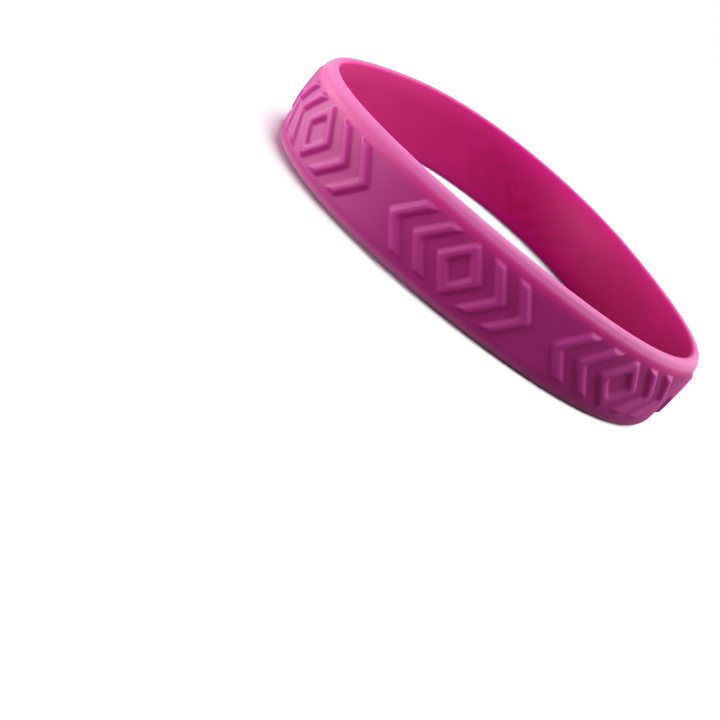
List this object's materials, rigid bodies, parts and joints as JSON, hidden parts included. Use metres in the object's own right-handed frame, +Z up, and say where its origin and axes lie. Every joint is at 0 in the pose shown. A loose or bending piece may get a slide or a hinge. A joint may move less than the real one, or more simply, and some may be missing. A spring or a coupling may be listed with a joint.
{
  "type": "silicone wristband",
  "caption": "Round moulded silicone wristband with a flat inner wall, softly rounded rims and raised chevron and diamond motifs on its outer wall.",
  "frame": {"origin": "middle of the bottom rim, where the band rests", "axes": "+Z up along the axis of the loop, the middle of one group of motifs facing -Y"},
  "size_m": [0.0692, 0.0692, 0.012],
  "materials": {
    "silicone": "satin magenta silicone"
  },
  "bodies": {
    "root": {"band": "silicone"}
  },
  "joints": []
}
